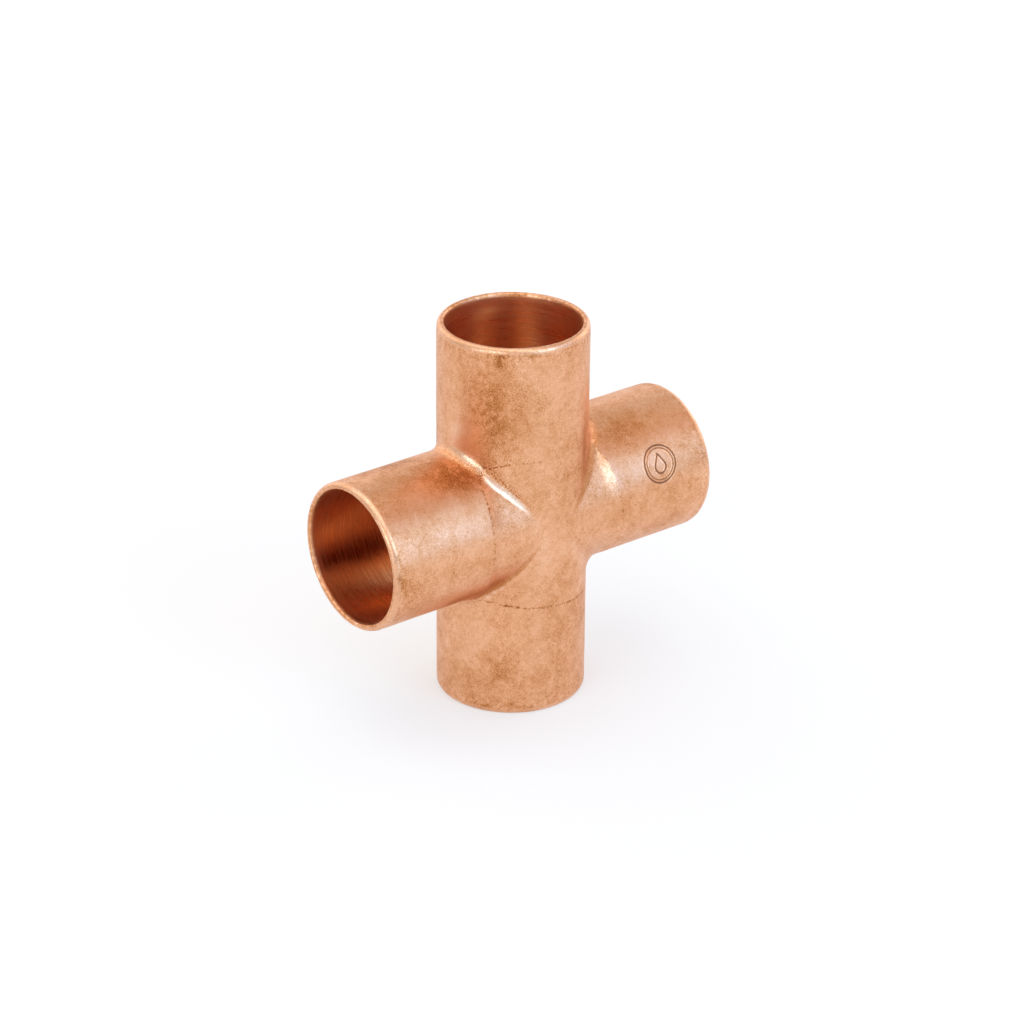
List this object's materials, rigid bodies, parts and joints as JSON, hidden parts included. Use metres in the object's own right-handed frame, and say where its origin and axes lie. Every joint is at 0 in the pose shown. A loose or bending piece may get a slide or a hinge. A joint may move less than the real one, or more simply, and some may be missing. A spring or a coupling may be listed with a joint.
{
  "type": "equal cross fitting for copper tube",
  "caption": "Copper solder cross with equal sockets at right angles in one plane, rounded crotches between the legs and internal tube stops.",
  "frame": {"origin": "point where the axes of the two runs cross, at the centre of the fitting", "axes": "+X and +Z along the two runs, +Y square to the plane of the legs"},
  "size_m": [0.0656, 0.0248, 0.0656],
  "materials": {
    "copper": "satin, lightly tarnished bare copper"
  },
  "bodies": {
    "root": {"cross_body": "copper"}
  },
  "joints": []
}
